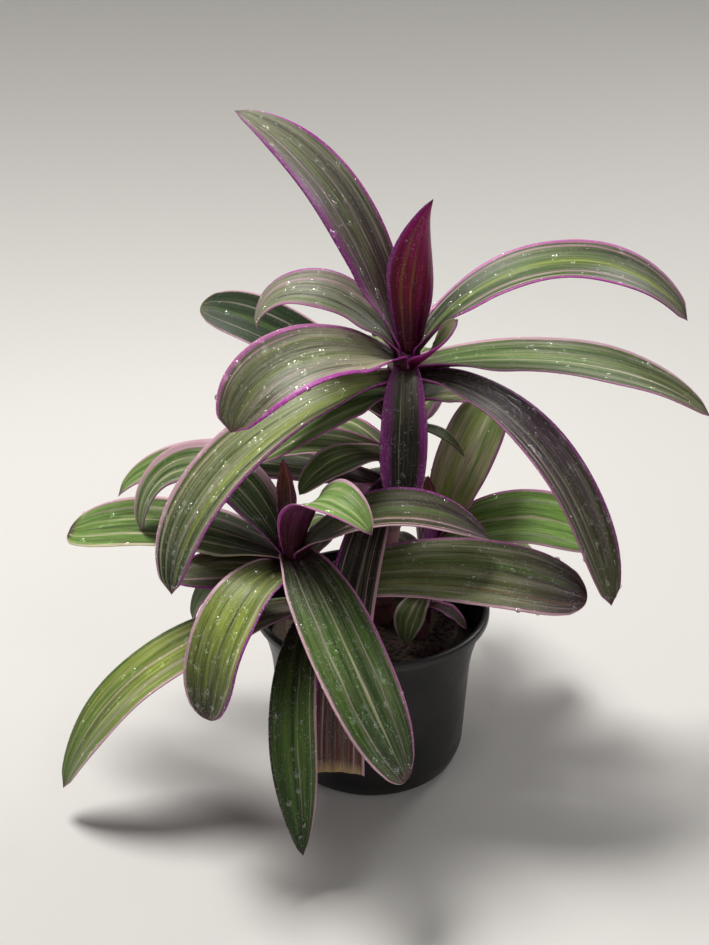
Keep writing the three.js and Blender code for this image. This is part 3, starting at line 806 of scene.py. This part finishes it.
def scatter_tree(name, values, material, flat, facets):
    """Small round bodies scattered on a surface, as densely as its attribute says.

    values are the defaults of SCATTER_INPUTS. Shortest and Longest are how many times longer than wide a
    body is. flat is its height as a share of its width, and facets how often its faces are halved.
    """
    tree = geometry_tree(name)
    ids = {}
    for label, value in zip(SCATTER_INPUTS, values):
        kind = "NodeSocketInt" if label == "Seed" else "NodeSocketFloat"
        ids[label] = input_socket(tree, label, kind, value)
    entry = add(tree, "NodeGroupInput").outputs
    wet = add(tree, "GeometryNodeInputNamedAttribute", {"Name": "wet"}, data_type="FLOAT")
    grain = add(tree, "GeometryNodeInputNamedAttribute", {"Name": "grain"}, data_type="FLOAT_VECTOR")
    density = calc(tree, "MULTIPLY", entry["Density"], wet.outputs[0])
    points = add(
        tree, "GeometryNodeDistributePointsOnFaces",
        {"Mesh": entry["Geometry"], "Density": density, "Seed": entry["Seed"]}, distribute_method="RANDOM")
    body = add(tree, "GeometryNodeMeshIcoSphere", {"Radius": 1.0, "Subdivisions": facets})
    soft = add(tree, "GeometryNodeSetShadeSmooth", {"Geometry": body.outputs[0]})
    draw = add(tree, "FunctionNodeRandomValue", {"Seed": entry["Seed"]}, data_type="FLOAT")
    bias = calc(tree, "POWER", draw.outputs[1], entry["Bias"])
    size = spread(tree, bias, 0.0, 1.0, entry["Smallest"], entry["Largest"])
    longer = add(
        tree, "FunctionNodeRandomValue", {2: entry["Shortest"], 3: entry["Longest"], "Seed": 7},
        data_type="FLOAT").outputs[1]
    turned = add(
        tree, "FunctionNodeAlignRotationToVector",
        {"Rotation": points.outputs["Rotation"], "Vector": grain.outputs[0]},
        axis="X", pivot_axis="Z").outputs[0]
    shape = add(tree, "ShaderNodeCombineXYZ", {0: longer, 1: 1.0, 2: flat}).outputs[0]
    placed = add(tree, "GeometryNodeInstanceOnPoints", {
        "Points": points.outputs[0], "Instance": soft.outputs[0], "Rotation": turned,
        "Scale": scaled(tree, shape, size)})
    real = add(tree, "GeometryNodeRealizeInstances", {0: placed.outputs[0]})
    dressed = add(tree, "GeometryNodeSetMaterial", {"Geometry": real.outputs[0], "Material": material})
    add(tree, "NodeGroupOutput", {0: dressed.outputs[0]})
    return tree, ids


def scatter(name, source, tree, ids, values):
    """Runs a scatter tree on a mesh, and returns what it makes as a plain mesh."""
    carrier = bpy.data.objects.new(name + "_source", source)
    bpy.context.scene.collection.objects.link(carrier)
    modifier = carrier.modifiers.new("Scatter", "NODES")
    modifier.node_group = tree
    for key, value in values.items():
        modifier[ids[key]] = value
    graph = bpy.context.evaluated_depsgraph_get()
    made = bpy.data.meshes.new_from_object(carrier.evaluated_get(graph))
    made.name = name
    bpy.data.objects.remove(carrier)
    return made


def wet_surface(nodes, density, margin):
    """The upper faces of some blades as one mesh, whose attributes say how wet each is and which way it runs.

    margin is how many times wetter a blade is along its margins.
    """
    points, faces, wet, grain = [], [], [], []
    for node in nodes:
        mesh = bpy.data.objects["fine_" + node].data
        uv = mesh.uv_layers[UV].data
        size = 2 * (settings().blade.columns + 1) + 2
        kept = [p for p in mesh.polygons if p.material_index == 0 and 0.02 < uv[p.loop_start].uv[1] < 0.97]
        start = len(points)
        points += [v.co[:] for v in mesh.vertices]
        count = len(mesh.vertices)
        for i in range(count):
            ahead, behind = mesh.vertices[min(i + size, count - 1)], mesh.vertices[max(i - size, 0)]
            grain.append((ahead.co - behind.co)[:])
        faces += [tuple(start + v for v in p.vertices) for p in kept]
        amount = density * LOOKS.get(node, STRIPED_GREEN)["wet"]
        middle = size // 2 - 2
        wet += [amount * (1 if 0 < i % size < middle else margin) for i in range(count)]
    surface = bpy.data.meshes.new("wet_surface")
    surface.from_pydata(points, [], faces)
    surface.attributes.new("wet", "FLOAT", "POINT").data.foreach_set("value", wet)
    directions = surface.attributes.new("grain", "FLOAT_VECTOR", "POINT").data
    directions.foreach_set("vector", np.array(grain, np.float32).ravel())
    return surface


# How each kind of water is scattered: its share of the density, how many times denser it is along the
# margins, its smallest and largest radius as shares of the largest drop, how strongly small ones
# prevail, how many times longer than wide it is at least and at most, its height as a share of its
# width, and how often its faces are halved.
WATER = {
    "mist": (1.5, 3.0, 0.06, 0.22, 2.5, 0.9, 1.4, 0.7, 1),
    "drops": (0.13, 0.5, 0.22, 1.0, 2.3, 0.9, 1.3, 0.55, 2),
    "runs": (0.035, 0.1, 0.2, 0.36, 1.0, 4.0, 9.0, 0.8, 2),
}
# Blades that water runs down.
STREAMING = ("low_leaf_10", "tall_leaf_08")


class BOATLILY_OT_drops(bpy.types.Operator):
    """Scatter mist, drops and runs of water over the upper faces of the blades"""

    bl_idname = "boatlily.drops"
    bl_label = "Drops"

    def execute(self, context):
        drops = settings().drops
        fine, clear = water_material("Fine mist of water", 2.0), water_material("Clear water drop", 1.7)
        nodes = sorted(n for n in frame["nodes"] if "_leaf_" in n or n.endswith("_spear"))
        for kind, (share, margin, smallest, largest, bias, shortest, longest, flat, facets) in WATER.items():
            radii = (smallest * drops.largest, largest * drops.largest)
            values = (1.0, *radii, bias, shortest, longest, drops.seed)
            water = fine if kind == "mist" else clear
            tree, ids = scatter_tree(kind.capitalize(), values, water, flat, facets)
            for slot, chosen in (("silver_leaf", "tall"), ("green_leaf", SHOOTS[1:])):
                wetted = [n for n in nodes if n.startswith(chosen) and (kind != "runs" or n in STREAMING)]
                surface = wet_surface(wetted, share * drops.density, margin)
                name = f"{slot}_{kind}"
                mesh = scatter(name, surface, tree, ids, dict(zip(ids, values)))
                piece = mesh_object(name, mesh, [], [])
                piece.visible_shadow = False  # light passes through water to the leaf under it
        return {"FINISHED"}


# ---- Stems ----


def stem_material():
    """Fleshy stem skin: pink over green, violet at its top, with dry brown rings at old leaf scars."""
    colours = settings().colours
    material, tree, shader = new_material("Fleshy stem skin")
    drawn_out = {"Vector": object_place(tree), "Scale": (260.0, 260.0, 45.0)}
    mottle = cloud(tree, add(tree, "ShaderNodeMapping", drawn_out).outputs[0], 1.0, 4.0)
    skin = blend(tree, spread(tree, mottle, 0.38, 0.66), colours.stem_pink, colours.stem_green)
    young = add(tree, "ShaderNodeAttribute", attribute_name="young").outputs["Fac"]
    skin = blend(tree, young, skin, colours.violet)
    scars = spread(tree, calc(tree, "PINGPONG", uv_place(tree)[1], 0.5), 0.03, 0.09, 1.0, 0.0)
    feed(tree, shader, {
        "Base Color": blend(tree, calc(tree, "MULTIPLY", scars, mottle), skin, colours.bark),
        "Roughness": spread(tree, mottle, 0, 1, 0.4, 0.62),
        "Normal": bump(tree, 0.5, 0.3 * MM, mottle),
    })
    return material


STEM_ROWS = 14  # rows of faces between two rings of the CAD stem


def stem_mesh(name, node):
    """A stem with a ring at each old leaf scar, whose top narrows and leans to the foot of its spear."""
    stem = settings().stem
    rings, tip = rings_of(node)
    centres = rings.mean(axis=1)
    radii = np.linalg.norm(rings - centres[:, None], axis=2).mean(axis=1)
    at = np.arange(len(centres), dtype=float)
    wanted = np.linspace(0, at[-1], STEM_ROWS * (len(centres) - 1) + 1)
    line = interpolate(centres, at, wanted)
    to_scar = 1 - np.abs((wanted - 1) % 2 - 1)
    swell = stem.scar * np.exp(-((to_scar / 0.07) ** 2))
    groove = 0.5 * stem.scar * np.exp(-(((to_scar - 0.16) / 0.08) ** 2))
    radius = np.interp(wanted, at, radii) + swell - groove
    heart = rings_of(node.replace("_stem", "_spear"))[0][0].mean(axis=0) - tip
    neck = np.clip((line[:, 2] - tip[2] + stem.neck) / stem.neck, 0, 1)
    neck = neck**2 * (3 - 2 * neck)
    line[:, :2] += neck[:, None] * heart[:2]
    radius = radius * (1 - 0.6 * neck)
    tip = np.array([tip[0] + heart[0], tip[1] + heart[1], tip[2]])
    sides = stem.sides
    points, uvs = [], []
    for centre, r in zip(line, radius):
        for j in range(sides):
            angle = 2 * math.pi * j / sides
            spot = Vector((3 * math.cos(angle), 3 * math.sin(angle), centre[2] * 160))
            reach = r + 0.12 * MM * noise.noise(spot)
            x, y = centre[0] + reach * math.cos(angle), centre[1] + reach * math.sin(angle)
            points.append((x, y, centre[2]))
    rows = len(line)
    faces = ring_faces(rows, sides)
    for low, high in zip((wanted + 1) / 2, (wanted[1:] + 1) / 2):
        for j in range(sides):
            uvs += [(j / sides, low), ((j + 1) / sides, low), ((j + 1) / sides, high), (j / sides, high)]
    points += [tuple(tip), tuple(line[0])]
    for j in range(sides):
        k = (j + 1) % sides
        faces += [((rows - 1) * sides + j, (rows - 1) * sides + k, rows * sides), (k, j, rows * sides + 1)]
        uvs += [(0.5, 0.25)] * 6
    mesh = smooth_mesh(name, points, faces)
    mesh.uv_layers.new(name=UV).data.foreach_set("uv", np.array(uvs, np.float32).ravel())
    young = [min(max(1 - (tip[2] - point[2]) / stem.young, 0), 1) ** 0.5 for point in points]
    mesh.attributes.new("young", "FLOAT", "POINT").data.foreach_set("value", young)
    return mesh


class BOATLILY_OT_stems(bpy.types.Operator):
    """Build the fleshy stem of each shoot"""

    bl_idname = "boatlily.stems"
    bl_label = "Stems"

    def execute(self, context):
        skin = stem_material()
        for shoot in SHOOTS:
            node = shoot + "_stem"
            mesh_object("fine_" + node, stem_mesh("fine_" + node, node), [skin], [node])
        return {"FINISHED"}


# ---- Soil ----


SOIL_TOP = 0.091  # height of the surface before its lumps
SOIL_SIDES, SOIL_RINGS = 144, 70


def soil_material(name, scale):
    """Damp potting soil: dark, rough and crumbly, with bits of bark."""
    colours = settings().colours
    material, tree, shader = new_material(name)
    grain = cloud(tree, object_place(tree), scale, 8.0, 0.7)
    feed(tree, shader, {
        "Base Color": blend(tree, spread(tree, grain, 0.4, 0.68), colours.soil, colours.bark),
        "Roughness": spread(tree, grain, 0, 1, 0.75, 1.0),
        "Normal": bump(tree, 1.0, 1.2 * MM, grain),
    })
    return material


def soil_side():
    """Radius and height of the soil's wall, from its foot up, as its solid has them."""
    levels = {}
    for vertex in frame["nodes"]["soil"].data.vertices:
        height = round(vertex.co.z / (0.5 * MM))
        levels[height] = max(levels.get(height, 0), math.hypot(vertex.co.x, vertex.co.y))
    low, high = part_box("soil")
    wide = {h: r for h, r in levels.items() if r > 0.05}
    steps = sorted(wide)
    return [(wide[h], h * 0.5 * MM) for h in steps if h * 0.5 * MM < high.z - 3 * MM], low.z


def soil_height(x, y, edge):
    reach = math.hypot(x, y) / edge
    spot = Vector((x, y, 0.0))
    lumps = 1.1 * noise.noise(spot * 45) + 0.6 * noise.noise(spot * 130) + 0.3 * noise.noise(spot * 420)
    return MM * lumps * (1 - 0.6 * reach**4)


def soil_mesh():
    """The soil, and the radius of its surface."""
    side, floor = soil_side()
    edge = side[-1][0] + 0.4 * MM
    profile = [(side[0][0] * (i + 1) / 4, floor) for i in range(3)] + side + [(edge, SOIL_TOP - 1.5 * MM)]
    points = [point for r, z in profile for point in ring(r, z, SOIL_SIDES)]
    for i in range(SOIL_RINGS):
        r = edge * (1 - 0.004) * (1 - i / SOIL_RINGS)
        points += [(x, y, z + soil_height(x, y, edge)) for x, y, z in ring(r, SOIL_TOP, SOIL_SIDES)]
    rows = len(profile) + SOIL_RINGS
    faces = ring_faces(rows, SOIL_SIDES)
    points += [(0, 0, floor), (0, 0, SOIL_TOP + soil_height(0, 0, edge))]
    last = (rows - 1) * SOIL_SIDES
    for j in range(SOIL_SIDES):
        k = (j + 1) % SOIL_SIDES
        faces += [(k, j, len(points) - 2), (last + j, last + k, len(points) - 1)]
    return smooth_mesh("fine_soil", points, faces), edge


class BOATLILY_OT_soil(bpy.types.Operator):
    """Build the soil, with crumbs on its surface"""

    bl_idname = "boatlily.soil"
    bl_label = "Soil"

    def execute(self, context):
        soil = settings().soil
        mesh, edge = soil_mesh()
        mesh_object("fine_soil", mesh, [soil_material("Damp potting soil", 420.0)], ["soil"])
        surface = bpy.data.meshes.new("soil_surface")
        kept = [p for p in mesh.polygons if p.center.z > SOIL_TOP - 2 * MM and p.normal.z > 0.5
                and math.hypot(p.center.x, p.center.y) < edge - 2.5 * MM]
        surface.from_pydata([v.co[:] for v in mesh.vertices], [], [tuple(p.vertices) for p in kept])
        surface.attributes.new("wet", "FLOAT", "POINT").data.foreach_set("value", [1.0] * len(mesh.vertices))
        surface.attributes.new("grain", "FLOAT_VECTOR", "POINT")
        density = soil.crumbs / (math.pi * edge**2)
        values = (density, 0.35 * soil.crumb, 2.2 * soil.crumb, 2.5, 0.9, 1.5, soil.seed)
        tree, ids = scatter_tree("Crumbs", values, soil_material("Soil crumbs", 900.0), 0.75, 1)
        crumbs = scatter("soil_crumbs", surface, tree, ids, dict(zip(ids, values)))
        noise.seed_set(1 + soil.seed)  # without a seed, noise_vector follows the clock
        for vertex in crumbs.vertices:
            spot = vertex.co.copy()
            vertex.co += 0.45 * MM * noise.noise_vector(spot * 700)
        mesh_object("soil_crumbs", crumbs, [], [])
        return {"FINISHED"}


# ---- Pot ----


# The drain holes: how many, and the radii of the circle that they stand on and of each.
DRAINS, DRAIN_CIRCLE, DRAIN_RADIUS = 6, 0.04, 0.0045
# The flared body from foot to collar: radius, height and how far it is rounded, in millimetres.
POT_BODY = ((61.5, 9, 4), (63.7, 58, 12), (64.5, 72, 8), (67.2, 86.5, 10))


def plastic_material():
    """Injection-moulded polypropylene: black, satin, faintly grained, with scuffs and dust on it."""
    colours = settings().colours
    material, tree, shader = new_material("Black moulded polypropylene")
    place = object_place(tree)
    haze = cloud(tree, place, 38.0, 6.0, 0.65)
    dusty = spread(tree, haze, 0.45, 0.75, 0.0, 0.16)
    feed(tree, shader, {
        "Base Color": blend(tree, dusty, colours.plastic, colours.bark),
        "Roughness": spread(tree, haze, 0.3, 0.7, 0.3, 0.5),
        "Normal": bump(tree, 0.25, 0.1 * MM, cloud(tree, place, 1400.0, 3.0)),
    })
    return material


def rounded(corners, steps=5):
    """A line through corners, each of which is radius, height and how far it is rounded, in millimetres."""
    line = []
    for i, (r, z, soft) in enumerate(corners):
        here = np.array([r, z])
        if soft == 0 or i in (0, len(corners) - 1):
            line.append(tuple(here))
            continue
        before, after = np.array(corners[i - 1][:2]), np.array(corners[i + 1][:2])
        start = here + (before - here) / np.linalg.norm(before - here) * soft
        end = here + (after - here) / np.linalg.norm(after - here) * soft
        for k in range(steps + 1):
            s = k / steps
            line.append(tuple((1 - s) ** 2 * start + 2 * s * (1 - s) * here + s**2 * end))
    return line


def pot_line():
    """The pot's section in millimetres, from the middle of its base, up the outside and down the inside."""
    pot = settings().pot
    low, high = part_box("pot")
    rim, height = high.x / MM, high.z / MM
    lip, wall = pot.lip / MM, pot.wall / MM
    collar = rim - 2.4
    return rounded([
        (0, 0.8, 0), (50, 0.8, 1), (52, 0, 0.8), (56.6, 0, 0.8), (58.6, 1.6, 1.2), *POT_BODY,
        (collar, height - lip, 1.2), (rim - 0.2, height - lip, 0.7), (rim, height - lip + 1.2, 0.5),
        (rim, height - 1.3, 1.1), (rim - 1.4, height, 1.0), (collar - wall + 0.2, height, 0.9),
        (collar - wall, height - lip, 1.5), *((r - wall, z, soft) for r, z, soft in reversed(POT_BODY)),
        (57 - wall, 2.4, 1.5), (0, 2.4, 0),
    ])


def pot_mesh():
    sides = settings().pot.sides
    line = pot_line()
    rows = line[1:-1]
    points = [(0, 0, line[0][1] * MM), (0, 0, line[-1][1] * MM)]
    points += [point for r, z in rows for point in ring(r * MM, z * MM, sides)]
    faces = ring_faces(len(rows), sides, 2)
    last = 2 + (len(rows) - 1) * sides
    for j in range(sides):
        k = (j + 1) % sides
        faces += [(0, 2 + k, 2 + j), (last + j, last + k, 1)]
    shell = bpy.data.meshes.new("pot_shell")
    shell.from_pydata(points, [], faces)
    return shell


def drill_mesh():
    """The cylinders that cut the drain holes."""
    drills = bmesh.new()
    for i in range(DRAINS):
        angle = 2 * math.pi * (i + 0.5) / DRAINS
        place = Matrix.Translation((DRAIN_CIRCLE * math.cos(angle), DRAIN_CIRCLE * math.sin(angle), 0))
        bmesh.ops.create_cone(
            drills, cap_ends=True, segments=32, radius1=DRAIN_RADIUS, radius2=DRAIN_RADIUS, depth=0.012,
            matrix=place)
    mesh = bpy.data.meshes.new("drills")
    drills.to_mesh(mesh)
    drills.free()
    return mesh


class BOATLILY_OT_pot(bpy.types.Operator):
    """Build the nursery pot, with its rolled lip and drain holes"""

    bl_idname = "boatlily.pot"
    bl_label = "Pot"

    def execute(self, context):
        shell = bpy.data.objects.new("pot_shell", pot_mesh())
        drills = bpy.data.objects.new("pot_drills", drill_mesh())
        for part in (shell, drills):
            context.scene.collection.objects.link(part)
        cut = shell.modifiers.new("Drain holes", "BOOLEAN")
        cut.object, cut.operation, cut.solver = drills, "DIFFERENCE", "EXACT"
        graph = context.evaluated_depsgraph_get()
        mesh = bpy.data.meshes.new_from_object(shell.evaluated_get(graph))
        bpy.data.objects.remove(shell)
        bpy.data.objects.remove(drills)
        mesh.name = "fine_pot"
        mesh.shade_smooth()
        mesh.set_sharp_from_angle(angle=math.radians(50))
        mesh_object("fine_pot", mesh, [plastic_material()], ["pot"])
        return {"FINISHED"}


# ---- Studio ----


# Each light: its name, its place, its power as a share of the key light's, and its colour.
LIGHTS = (
    ("key", (-0.6, 0.5, 2.2), 1.0, (1.0, 0.98, 0.96)),
    ("fill", (1.0, -1.5, 1.7), 0.08, (0.96, 0.98, 1.0)),
    ("back", (1.3, 1.4, 1.7), 0.22, (1, 1, 1)),
)
LIGHT_AIM = (0, 0, 0.2)
LIGHT_SIZE = 0.8
SKY = {0: (0.9, 0.92, 0.95, 1), 1: 0.15}  # colour and strength of the light from all round
PAPER_SIDES, PAPER_STEPS, PAPER_TOP = 96, 24, 4.0
CAMERA_PLACE = (-0.011, -0.532, 0.420)
CAMERA_TILT = math.radians(67.2)
CAMERA_LENS, CAMERA_SENSOR = 36.4, 36  # in millimetres


def area_light(name, spot, power, colour):
    data = bpy.data.lights.new(name, "AREA")
    data.shape, data.size, data.energy, data.color = "DISK", LIGHT_SIZE, power, colour
    light = bpy.data.objects.new(name, data)
    light.location = spot
    light.rotation_euler = (Vector(LIGHT_AIM) - Vector(spot)).to_track_quat("-Z", "Y").to_euler()
    bpy.context.scene.collection.objects.link(light)


def paper_mesh():
    """Studio paper that lies flat under the plant and turns up all round it without an edge."""
    stage = settings().stage
    line = []
    for i in range(PAPER_STEPS + 1):
        angle = math.pi / 2 * i / PAPER_STEPS
        line.append((stage.floor + stage.bend * math.sin(angle), stage.bend * (1 - math.cos(angle))))
    line.append((stage.floor + stage.bend, PAPER_TOP))
    points = [(0.0, 0.0, 0.0)] + [point for r, z in line for point in ring(r, z, PAPER_SIDES)]
    faces = [(0, 1 + j, 1 + (j + 1) % PAPER_SIDES) for j in range(PAPER_SIDES)]
    faces += [(a, d, c, b) for a, b, c, d in ring_faces(len(line), PAPER_SIDES, 1)]
    return smooth_mesh("studio_paper", points, faces)


class BOATLILY_OT_stage(bpy.types.Operator):
    """Add the floor, the lights and the camera"""

    bl_idname = "boatlily.stage"
    bl_label = "Stage"

    def execute(self, context):
        scene = context.scene
        floor = bpy.data.objects.new("studio_paper", paper_mesh())
        scene.collection.objects.link(floor)
        material, tree, shader = new_material("Matt studio paper")
        grain = cloud(tree, object_place(tree), 300.0, 3.0)
        feed(tree, shader, {
            "Base Color": settings().colours.floor, "Roughness": 0.8,
            "Normal": bump(tree, 0.1, 0.2 * MM, grain),
        })
        floor.data.materials.append(material)
        for name, spot, share, colour in LIGHTS:
            area_light(name, spot, share * settings().stage.key, colour)
        world = bpy.data.worlds.new("Studio")
        world.use_nodes = True
        feed(world.node_tree, world.node_tree.nodes["Background"], SKY)
        scene.world = world
        scene.view_settings.view_transform = "Standard"
        data = bpy.data.cameras.new("camera")
        data.sensor_width, data.lens, data.clip_start = CAMERA_SENSOR, CAMERA_LENS, 0.01
        camera = bpy.data.objects.new("camera", data)
        camera.location = CAMERA_PLACE
        camera.rotation_euler = (CAMERA_TILT, 0, 0)
        scene.collection.objects.link(camera)
        scene.camera = camera
        return {"FINISHED"}


# ---- The add-on ----


class BoatLilySettings(bpy.types.PropertyGroup):
    """All that a user would change."""

    colours: PointerProperty(
        type=ColourSettings, name="Colours", description="Colours of the plant, pot and soil")
    blade: PointerProperty(type=BladeSettings, name="Blades", description="The blades")
    drops: PointerProperty(type=DropSettings, name="Drops", description="The drops of water")
    stem: PointerProperty(type=StemSettings, name="Stems", description="The stems")
    pot: PointerProperty(type=PotSettings, name="Pot", description="The pot")
    soil: PointerProperty(type=SoilSettings, name="Soil", description="The soil")
    stage: PointerProperty(type=StageSettings, name="Stage", description="The studio")


class BOATLILY_PT_panel(bpy.types.Panel):
    """Lists the pieces of the potted boat lily and their settings"""

    bl_label = "Potted boat lily"
    bl_idname = "BOATLILY_PT_panel"
    bl_space_type = "VIEW_3D"
    bl_region_type = "UI"
    bl_category = "Boat lily"

    def draw(self, context):
        for operator in OPERATORS:
            self.layout.operator(operator.bl_idname)
        for name in ("blade", "drops", "stem", "pot", "soil", "stage", "colours"):
            box = self.layout.box()
            box.label(text=name.capitalize())
            group = getattr(context.scene.boat_lily, name)
            for key in group.__annotations__:
                box.prop(group, key)


OPERATORS = (
    BOATLILY_OT_stage, BOATLILY_OT_blades, BOATLILY_OT_drops, BOATLILY_OT_stems, BOATLILY_OT_soil,
    BOATLILY_OT_pot,
)
CLASSES = (
    ColourSettings, BladeSettings, DropSettings, StemSettings, PotSettings, SoilSettings, StageSettings,
    BoatLilySettings, *OPERATORS, BOATLILY_PT_panel,
)


def register():
    for cls in CLASSES:
        bpy.utils.register_class(cls)
    bpy.types.Scene.boat_lily = PointerProperty(type=BoatLilySettings)


def unregister():
    del bpy.types.Scene.boat_lily
    for cls in reversed(CLASSES):
        bpy.utils.unregister_class(cls)


def main():
    register()
    for operator in OPERATORS:
        group, name = operator.bl_idname.split(".")
        getattr(getattr(bpy.ops, group), name)()


if __name__ == "__main__":
    main()
